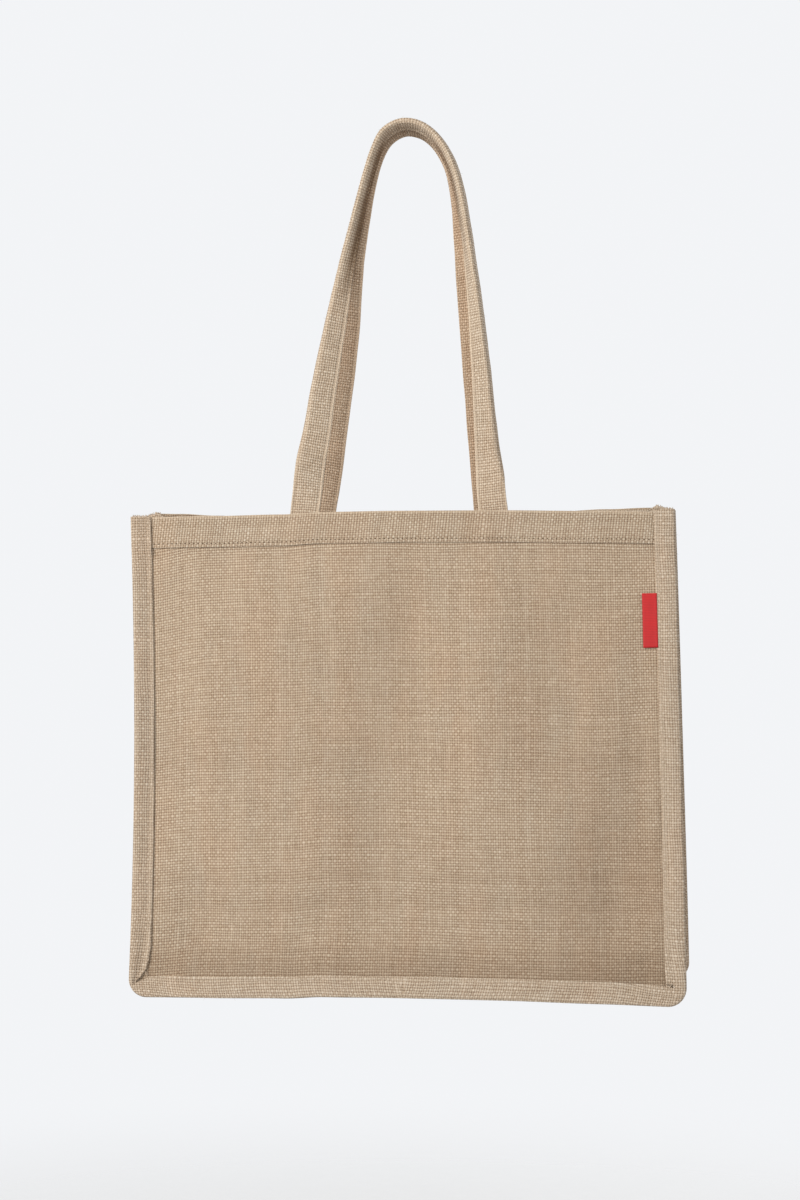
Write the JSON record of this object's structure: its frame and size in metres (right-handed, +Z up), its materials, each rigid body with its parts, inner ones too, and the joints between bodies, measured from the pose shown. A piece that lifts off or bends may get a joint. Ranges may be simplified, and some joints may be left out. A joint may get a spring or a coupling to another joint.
{
  "type": "burlap bag",
  "caption": "Empty burlap shopping bag hanging by its handles, wedge shaped, with folded border strips, a hem and a plain tab.",
  "frame": {"origin": "where the handles are held, just under both arches, on the bag's middle plane", "axes": "+Z up, +X across the width of the bag, the front panel faces -Y"},
  "size_m": [0.4358, 0.1296, 0.6818],
  "materials": {
    "burlap": "coarse plain weave, matt, natural tan",
    "strap": "folded and sewn coarse weave, matt, natural tan",
    "label": "fine red woven tab, slight sheen"
  },
  "bodies": {
    "root": {"front_panel": "burlap", "back_panel": "burlap", "gusset": "burlap", "front_handle": "strap", "back_handle": "strap", "label": "label"}
  },
  "joints": []
}
